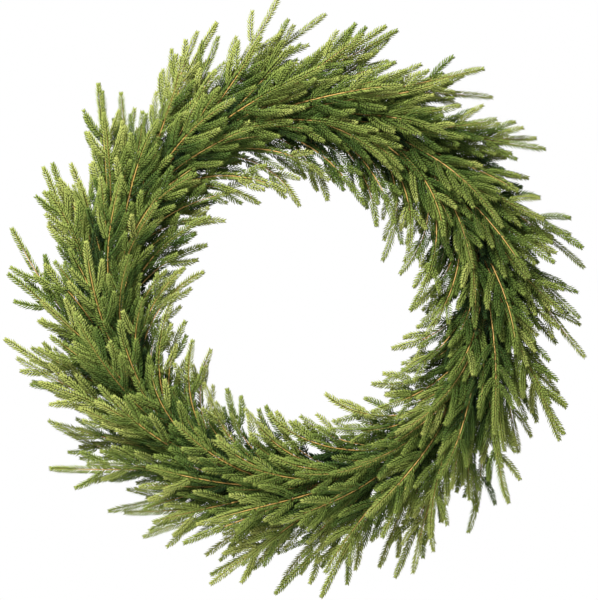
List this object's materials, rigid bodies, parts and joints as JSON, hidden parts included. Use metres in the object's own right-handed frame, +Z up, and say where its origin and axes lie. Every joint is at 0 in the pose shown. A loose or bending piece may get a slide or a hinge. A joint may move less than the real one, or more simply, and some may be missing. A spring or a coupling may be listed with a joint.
{
  "type": "cypress wreath",
  "caption": "Round evergreen wreath: short-needled sprays, all sweeping clockwise, in bunches bound with wire round a steel hoop.",
  "frame": {"origin": "underside of the hoop's wire at the top of the wreath, where a nail or hook bears", "axes": "+Z up as it hangs, +X to the right as seen from the front, +Y from the front to the wall"},
  "size_m": [0.7121, 0.1113, 0.7277],
  "materials": {
    "foliage": "soft moulded needles, mid green with yellow-green tips",
    "hoop_steel": "dark green enamel",
    "binding_steel": "dark green enamelled florist's wire"
  },
  "bodies": {
    "root": {"hoop": "hoop_steel", "binding_wire": "binding_steel", "bunch_outer_01": "foliage", "bunch_outer_02": "foliage", "bunch_outer_03": "foliage", "bunch_outer_04": "foliage", "bunch_outer_05": "foliage", "bunch_outer_06": "foliage", "bunch_outer_07": "foliage", "bunch_outer_08": "foliage", "bunch_outer_09": "foliage", "bunch_outer_10": "foliage", "bunch_outer_11": "foliage", "bunch_outer_12": "foliage", "bunch_outer_13": "foliage", "bunch_outer_14": "foliage", "bunch_outer_15": "foliage", "bunch_outer_16": "foliage", "bunch_outer_17": "foliage", "bunch_outer_18": "foliage", "bunch_front_01": "foliage", "bunch_front_02": "foliage", "bunch_front_03": "foliage", "bunch_front_04": "foliage", "bunch_front_05": "foliage", "bunch_front_06": "foliage", "bunch_front_07": "foliage", "bunch_front_08": "foliage", "bunch_front_09": "foliage", "bunch_front_10": "foliage", "bunch_front_11": "foliage", "bunch_front_12": "foliage", "bunch_front_13": "foliage", "bunch_front_14": "foliage", "bunch_front_15": "foliage", "bunch_front_16": "foliage", "bunch_front_17": "foliage", "bunch_front_18": "foliage", "bunch_inner_01": "foliage", "bunch_inner_02": "foliage", "bunch_inner_03": "foliage", "bunch_inner_04": "foliage", "bunch_inner_05": "foliage", "bunch_inner_06": "foliage", "bunch_inner_07": "foliage", "bunch_inner_08": "foliage", "bunch_inner_09": "foliage", "bunch_inner_10": "foliage", "bunch_inner_11": "foliage", "bunch_inner_12": "foliage", "bunch_inner_13": "foliage", "bunch_inner_14": "foliage", "bunch_inner_15": "foliage", "bunch_inner_16": "foliage", "bunch_inner_17": "foliage", "bunch_inner_18": "foliage"}
  },
  "joints": []
}
